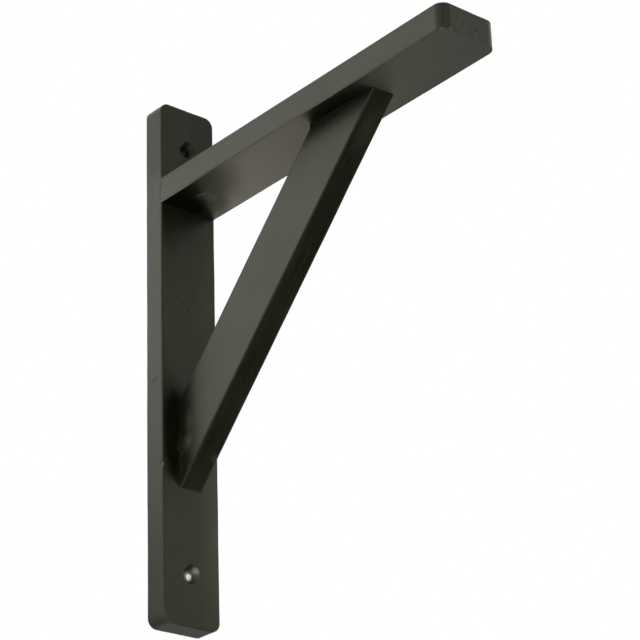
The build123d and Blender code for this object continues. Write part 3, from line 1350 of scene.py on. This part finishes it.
@dataclass
class Studio:
    """A plain studio with a pale floor and a white background.

    A softbox behind on the left lights the left sides, and a small card behind on the right the underside of
    the arm. A card in front on the right and one by the arm's end lift the faces that look that way. A lamp
    by the camera fills the shadows, and a narrow beam beside it reaches into the lower hole.

    Attributes:
        softboxes: the lamps.
        patches: brighter and darker parts of the surround.
        ambient: light of the rest of the surround.
        floor_drop: height of the floor.
        floor_radius: radius of the floor.
        floor_fade: share of that radius where the floor begins to fade out.
        floor_grid: steps round the floor and out to its rim.
        floor_colour: colour of the floor.
    """

    softboxes: tuple[Softbox, ...] = (
        Softbox("softbox_behind_left", (-0.42, 0.27, 0.335), (-0.42, -1.0, 0.335), (0.75, 0.57), 1.06),
        Softbox("card_behind_right", (0.115, 0.133, -0.064), (0.115, -1.0, -0.064), (0.15, 0.105), 5.3,
                "#fff6e8"),
        Softbox("card_front_right", (0.47, -0.63, 0.24), (0.0, -0.0115, -0.1), (0.3, 0.22), 0.5),
        Softbox("card_by_arm_end", (0.121, -0.32, 0.181), (0.0, -0.2, 0.077), (0.1, 0.1), 0.42),
        Softbox("lamp_by_camera", (-0.45, -0.82, -0.53), (0.0, -0.1, 0.0), (0.2, 0.2), 44.0),
        Softbox("beam_by_camera", (-0.627, -0.836, -0.454), (0.002, -0.0067, -0.102), (0.03, 0.03), 4.2,
                "#f6f2f8", 5.0),
    )
    patches: tuple[Patch, ...] = (
        Patch((0.88, -0.35, 0.42), 10, 32, 0.5),
        Patch((0.5, -0.42, 0.75), 8, 28, -0.38),
        Patch((-0.1, -0.9, 0.4), 10, 30, 0.44),
        Patch((0.59, -0.41, -0.69), 12, 42, -0.38),
        Patch((-0.88, 0.05, 0.45), 15, 45, 0.55),
        Patch((0.54, 0.63, -0.57), 4, 21, 0.72),
        Patch((0.6, 0.79, -0.15), 10, 30, -0.38),
        Patch((0.5, 0.65, 0.57), 15, 50, 0.7),
        Patch((-0.62, 0.75, -0.1), 8, 26, 0.35),
        Patch((0.0, 0.1, 1.0), 20, 50, 0.7),
        Patch((1.0, 0.05, 0.1), 8, 42, 0.8),
        Patch((0.05, 1.0, 0.05), 6, 34, 0.7),
    )
    ambient: float = 0.38
    floor_drop: float = -1.1
    floor_radius: float = 0.8
    floor_fade: float = 0.55
    floor_grid: tuple[int, int] = (96, 8)
    floor_colour: str = "#e9e9e6"

    def build_world(self) -> None:
        """Builds the surround: each patch is full inside its inner angle and fades out to its outer angle.

        The camera sees plain white of strength one in every direction.
        """
        world = bpy.data.worlds.new("white_surround")
        bpy.context.scene.world = world
        world.use_nodes = True
        tree = world.node_tree
        tree.nodes.clear()
        direction = add_node(tree, "ShaderNodeTexCoord").outputs["Generated"]
        light = self.ambient
        for patch in self.patches:
            along = add_node(tree, "ShaderNodeVectorMath", {
                0: direction, 1: tuple(unit(np.array(patch.towards))),
            }, operation="DOT_PRODUCT").outputs["Value"]
            rim = (math.cos(math.radians(patch.outer)), math.cos(math.radians(patch.inner)))
            light = compute(tree, "ADD", light, ramp(tree, along, rim, (0.0, patch.strength), "SMOOTHSTEP"))
        surround = add_node(tree, "ShaderNodeBackground", {"Color": (1, 1, 1, 1), "Strength": light})
        white = add_node(tree, "ShaderNodeBackground", {"Color": (1, 1, 1, 1), "Strength": 1.0})
        path = add_node(tree, "ShaderNodeLightPath")
        seen = add_node(tree, "ShaderNodeMixShader", {
            0: path.outputs["Is Camera Ray"], 1: surround.outputs[0], 2: white.outputs[0],
        })
        add_node(tree, "ShaderNodeOutputWorld", {"Surface": seen.outputs[0]})

    def build_floor(self) -> None:
        """Builds the floor, a disc whose rim fades out: point = (radius * cos a, radius * sin a, drop)."""
        around, rings = self.floor_grid
        angle = np.linspace(0, 2 * np.pi, around, endpoint=False)[:, None]
        radius = np.linspace(0, self.floor_radius, rings + 1)
        level = np.full((around, rings + 1), self.floor_drop)
        disc = np.stack([radius * np.cos(angle), radius * np.sin(angle), level], -1)
        floor = grid_object("studio_floor", [disc])

        # Matt paint gives a plain pale ground without a sheen
        material, tree, coords = blank_material("matt_white_floor_paint")
        away = add_node(tree, "ShaderNodeVectorMath", {
            0: coords, 1: (0, 0, self.floor_drop),
        }, operation="DISTANCE").outputs["Value"]
        fade = ramp(tree, away, (self.floor_fade * self.floor_radius, self.floor_radius), kind="SMOOTHSTEP")
        matt = add_node(tree, "ShaderNodeBsdfDiffuse", {"Color": linear(self.floor_colour)})
        clear = add_node(tree, "ShaderNodeBsdfTransparent")
        surface = add_node(tree, "ShaderNodeMixShader", {
            0: fade, 1: matt.outputs[0], 2: clear.outputs[0],
        })
        add_node(tree, "ShaderNodeOutputMaterial", {"Surface": surface.outputs[0]})
        floor.data.materials.append(material)

    def build(self) -> None:
        """Builds the surround, the floor and the lamps, and keeps the colours as they are written."""
        self.build_world()
        self.build_floor()
        for softbox in self.softboxes:
            softbox.build()
        bpy.context.scene.view_settings.view_transform = "Standard"


def node_box(name: str) -> Array:
    """Gives the lowest and highest corner of a CAD node."""
    return np.array([list(corner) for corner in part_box(name)])


def brace_leg(brace: Array) -> float:
    """Gives the distance from the inner corner to the brace's inner edge, from the brace's box."""
    return brace[1][1] - brace[0][1] - BRACE_CUT


# Marks in the paint, left and right as the photograph shows them
UPRIGHT_MARKS = (
    # Glossy strip beside the brace's foot, darker as painted shade
    Mark(MarkKind.POOLED_PAINT_AND_SHADE, (-8.0, -11.5, -39.0), (6.8, 1.5, 27.0), 1.0, ragged=0.15, soft=0.6),
    # Dry spray on the left side, above the arm
    Mark(MarkKind.DRY_SPRAY, (-15.0, -6.0, 108.0), (1.2, 12.0, 27.0), 0.9, ragged=0.2, soft=0.5),
    # Nick in the left edge and dent in the left side
    Mark(MarkKind.CHIP_AND_HIGHLIGHT, (-14.9, -11.4, -55.3), (0.8, 0.8, 1.2), 0.6, ragged=0.4),
    Mark(MarkKind.SHADED_DENT, (-15.0, -5.8, -14.6), (1.0, 2.0, 1.4), 0.6, sunk_mm=0.1),
    # Painted highlight in the lower countersink
    Mark(MarkKind.CHIP_AND_HIGHLIGHT, (2.0, -10.6, -99.9), (0.9, 1.6, 2.1), 0.07, (0, 45, 0), 0.6, 0.9),
    # Lighter colour along the right edge
    Mark(MarkKind.THIN_FILM_AND_SHEEN, (17.0, -11.5, -36.0), (15.0, 3.0, 118.0), 0.8, ragged=0.3, soft=0.95),
    # Shade in the upper hole
    Mark(MarkKind.SHADED_DENT, (0.0, -9.0, 102.75), (4.6, 4.0, 4.6), 0.7, ragged=0.1, soft=0.3),
    # Scratch across the front, in three pieces
    Mark(MarkKind.SHADED_DENT, (-4.2, -11.5, 23.6), (2.6, 1.0, 1.0), 1.0, (0, 10, 0), 0.4, 0.8, 0.3),
    Mark(MarkKind.SHADED_DENT, (-1.5, -11.5, 22.3), (2.0, 1.0, 1.0), 1.0, (0, 48, 0), 0.4, 0.8, 0.3),
    Mark(MarkKind.SHADED_DENT, (-12.4, -11.5, 22.8), (1.8, 1.0, 0.8), 0.8, (0, 0, 0), 0.5, 0.8, 0.12),
)
ARM_MARKS = (
    # Dry spray under the inner half
    Mark(MarkKind.DRY_SPRAY, (0.0, -54.0, 71.25), (44.0, 76.0, 1.2), 1.0, ragged=0.1, soft=0.4),
    # Glossy paint in the inner corner and beside the brace's head, darker as painted shade
    Mark(MarkKind.POOLED_PAINT_AND_SHADE, (-8.0, -14.0, 71.25), (24.0, 27.0, 1.5), 1.0, ragged=0.3, soft=0.9),
    Mark(MarkKind.POOLED_PAINT_AND_SHADE, (-9.0, -126.0, 71.25), (6.0, 20.0, 1.5), 1.0, ragged=0.3, soft=0.7),
    # Dull bands that cross the underside aslant
    Mark(MarkKind.DULL_PAINT, (-9.0, -42.0, 71.25), (32.0, 17.0, 2.0), 0.5, (0, 0, 51.4), 0.5, 1.0),
    Mark(MarkKind.DULL_PAINT, (5.0, -26.0, 71.25), (24.0, 8.0, 2.0), 0.7, (0, 0, 51.4), 0.3, 0.9),
    # Glue wiped off near the inner corner
    Mark(MarkKind.THIN_FILM_AND_SHEEN, (-2.5, -27.5, 71.25), (4.0, 6.0, 1.0), 0.4, (0, 0, 30), 1.3, 0.7),
    Mark(MarkKind.GLUE_SMEAR_AND_HIGHLIGHT, (-4.9, -28.8, 71.25), (1.2, 4.2, 1.0), 0.5, (0, 0, 20), 1.1, 0.8),
    Mark(MarkKind.GLUE_SMEAR_AND_HIGHLIGHT, (2.0, -27.5, 71.25), (2.4, 3.4, 1.0), 0.22, (0, 0, 30), 1.4, 0.8),
    Mark(MarkKind.GLUE_SMEAR_AND_HIGHLIGHT, (0.6, -34.3, 71.25), (0.6, 1.6, 1.0), 0.3, (0, 0, 25), 0.6, 0.8),
    # Flecks in the front end
    Mark(MarkKind.SHADED_DENT, (-3.9, -200.0, 77.0), (0.7, 1.0, 1.9), 0.8, ragged=0.5, sunk_mm=0.15),
    Mark(MarkKind.SHADED_DENT, (-0.5, -200.0, 78.8), (0.6, 1.0, 1.6), 0.4, ragged=0.5, soft=0.6),
    Mark(MarkKind.SHADED_DENT, (0.6, -200.0, 73.8), (1.1, 1.0, 1.6), 0.45, ragged=0.7, soft=0.7),
    Mark(MarkKind.SHADED_DENT, (3.3, -200.0, 76.2), (0.8, 1.0, 1.3), 0.8, ragged=0.7, sunk_mm=0.15),
    Mark(MarkKind.SHADED_DENT, (5.2, -200.0, 74.4), (0.9, 1.0, 1.0), 0.8, ragged=0.7, sunk_mm=0.12),
    # Glue on the front end's lower left corner, lighter as a painted highlight on the rounded corner
    Mark(MarkKind.GLUE_SMEAR_AND_HIGHLIGHT, (-14.0, -198.6, 71.6), (1.6, 1.8, 0.9), 0.5, ragged=0.6, soft=0.8),
    Mark(MarkKind.GLUE_SMEAR_AND_HIGHLIGHT, (-10.6, -200.0, 71.8), (1.3, 1.2, 1.1), 0.5, ragged=0.6, soft=0.8),
)
BRACE_MARKS = (
    # Thin film on the outer edge, near the foot and near the head, lighter as painted sheen
    Mark(MarkKind.THIN_FILM_AND_SHEEN, (4.8, -23.5, -52.2), (3.4, 4.0, 4.0), 0.5, ragged=0.4, soft=0.9),
    Mark(MarkKind.THIN_FILM_AND_SHEEN, (1.0, -134.0, 58.3), (6.0, 14.0, 14.0), 0.3, ragged=0.5, soft=0.9),
    # Glue and thin film on the left side, by the foot, lighter as a painted highlight on the glue
    Mark(MarkKind.GLUE_SMEAR_AND_HIGHLIGHT, (-5.75, -16.0, -45.0), (2.0, 6.5, 4.5), 0.42, (-20, 0, 0), 0.3, 0.8),
    Mark(MarkKind.THIN_FILM_AND_SHEEN, (-5.75, -18.0, -36.0), (1.5, 4.0, 8.0), 0.6, ragged=0.4, soft=0.9),
)
EDGE_NICK = Dent((-15.0, -11.5, -55.3), 1.6, 0.35)


@dataclass(frozen=True)
class Bracket:
    """The whole bracket, worked out from the boxes of its CAD nodes.

    Attributes:
        upright: box of the upright.
        arm: box of the arm.
        brace: box of the brace.
    """

    upright: Array
    arm: Array
    brace: Array

    def seats(self) -> tuple[Seat, ...]:
        """Places the four screws: two into the arm's end, one into the brace's foot and one into its head.

        Returns:
            The mouths of their holes, with directions into the wood.
        """
        (_, front, _), (_, wall, _) = self.upright
        under, top = self.arm[:, 2]
        leg = brace_leg(self.brace)
        past_upright = SCREW_SUNK + SCREW_LENGTH - (wall - front)
        past_arm = SCREW_SUNK + SCREW_LENGTH - (top - under)
        foot_z = under - leg - (BRACE_CUT - past_upright) / 2
        head_y = front - leg - (BRACE_CUT - past_arm) / 2
        aside = SCREW_PAIR_SPACING / 2
        behind = ((-aside, (under + top) / 2), (aside, (under + top) / 2), (0, foot_z))
        head = Seat(np.array([0, head_y, top]), DOWNWARD)
        return (*(Seat(np.array([x, wall, z]), FRONTWARD) for x, z in behind), head)

    def seat_hole(self, seat: Seat, depth: float) -> Hole:
        """Describes the passage and the countersink of one screw."""
        return Hole(seat.head, seat.axis, SCREW_PASSAGE_RADIUS, HEAD_SINK_RADIUS, depth)

    def upright_slat(self) -> Slat:
        """Describes the upright, with its two wall holes and the three screw holes behind.

        Returns:
            The slat, not yet built.
        """
        (left, front, foot), (right, wall, top) = self.upright
        height, thickness = top - foot, wall - front
        depth = thickness + DRILL_PAST_UPRIGHT
        wall_holes = tuple(
            Hole(np.array([0, front, z]), BACKWARD, WALL_HOLE_RADIUS, WALL_SINK_RADIUS, depth, bare)
            for z, bare in ((foot + WALL_HOLE_FROM_FOOT, True), (top - WALL_HOLE_FROM_TOP, False))
        )
        return Slat(
            name="painted_upright",
            node="upright",
            lie=Lie((0, (front + wall) / 2, foot), (1, 0, 0), (0, 0, 1), (0, -1, 0)),
            corners=np.array([[left, 0], [right, 0], [right, height], [left, height]]),
            radii=np.full(4, CORNER_RADIUS),
            sawn=(False,) * 4,
            thickness=thickness,
            finish=PaintedBirch("satin_paint_on_birch_upright", marks=UPRIGHT_MARKS),
            seed=3,
            holes=wall_holes + tuple(self.seat_hole(seat, depth) for seat in self.seats()[:3]),
            dents=(EDGE_NICK,),
            square_front=(self.arm[0][2] - foot, self.arm[1][2] - foot),
        )

    def arm_slat(self) -> Slat:
        """Describes the arm, with the screw hole over the brace's head.

        Returns:
            The slat, not yet built.
        """
        (left, end, under), (right, butt, top) = self.arm
        length, thickness = butt - end, top - under
        return Slat(
            name="painted_arm",
            node="arm",
            lie=Lie((0, butt, (under + top) / 2), (1, 0, 0), (0, -1, 0), (0, 0, -1)),
            corners=np.array([[left, 0], [right, 0], [right, length], [left, length]]),
            radii=np.array([SAWN_CORNER, SAWN_CORNER, CORNER_RADIUS, CORNER_RADIUS]),
            sawn=(True, False, False, False),
            thickness=thickness,
            # The arm's lighter edge colour is painted light on its sanded edges
            finish=PaintedBirch("satin_paint_on_birch_arm", math.pi / 2, ARM_MARKS, worn_and_lit="#41423a"),
            seed=5,
            edge_radius=0.12 * MM,
            holes=(self.seat_hole(self.seats()[3], thickness + DRILL_PAST_ARM),),
        )

    def brace_slat(self) -> Slat:
        """Describes the brace, which lies on edge at 45 degrees and is mitred at both ends.

        Returns:
            The slat, not yet built.
        """
        half = BRACE_WIDTH / 2
        slope = math.sqrt(0.5)
        low, high = self.brace
        inner = (high[2] - low[2] - BRACE_CUT) * math.sqrt(2)
        inner_foot = np.array([0, high[1], high[2] - inner * slope])
        origin = inner_foot - half * np.array([0, slope, slope])
        return Slat(
            name="painted_brace",
            node="brace",
            lie=Lie(tuple(origin), (0, slope, slope), (0, -slope, slope), (1, 0, 0)),
            corners=np.array([[-half, -2 * half], [half, 0], [half, inner], [-half, inner + 2 * half]]),
            radii=np.full(4, SAWN_CORNER),
            sawn=(True, False, True, False),
            thickness=high[0] - low[0],
            # The brace's darker edge colour is painted shade on its sanded edges
            finish=PaintedBirch("satin_paint_on_birch_brace", -math.pi / 4, BRACE_MARKS, worn_and_lit="#1c1d17"),
            seed=9,
            edge_radius=0.3 * MM,
        )

    def joint_paint(self) -> JointPaint:
        """Describes the beads of glue and paint in the joints.

        Returns:
            The beads, not yet built.
        """
        smooth_glue = 0.004
        satin = PaintedBirch("satin_paint_on_glue", grain_height_mm=smooth_glue)
        # The dull finish's dark sheen tint paints shade into the joints
        dull = PaintedBirch("dull_shaded_paint_on_glue", sheen="#55574b", roughness=(0.6, 0.72),
                            grain_height_mm=smooth_glue)
        return JointPaint(self.upright, self.arm, self.brace, satin, dull)

    def screws(self) -> AssemblyScrews:
        """Describes the screws, each with its head sunk below the wood's face."""
        sunk = tuple(Seat(seat.head + seat.axis * SCREW_SUNK, seat.axis) for seat in self.seats())
        return AssemblyScrews(sunk, PaintedSteel())


def main() -> None:
    """Builds the slats, the joint paint, the screws, the studio and the camera in order."""
    logging.basicConfig(level=logging.INFO, format="%(message)s")
    bracket = Bracket(*(node_box(name) for name in ("upright", "arm", "brace")))
    bare = BareBirch().build()
    for slat in (bracket.upright_slat(), bracket.arm_slat(), bracket.brace_slat()):
        slat.build(bare)
    bracket.joint_paint().build()
    bracket.screws().build()
    Studio().build()
    PhotoCamera().build()
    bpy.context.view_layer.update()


if __name__ == "__main__":
    main()
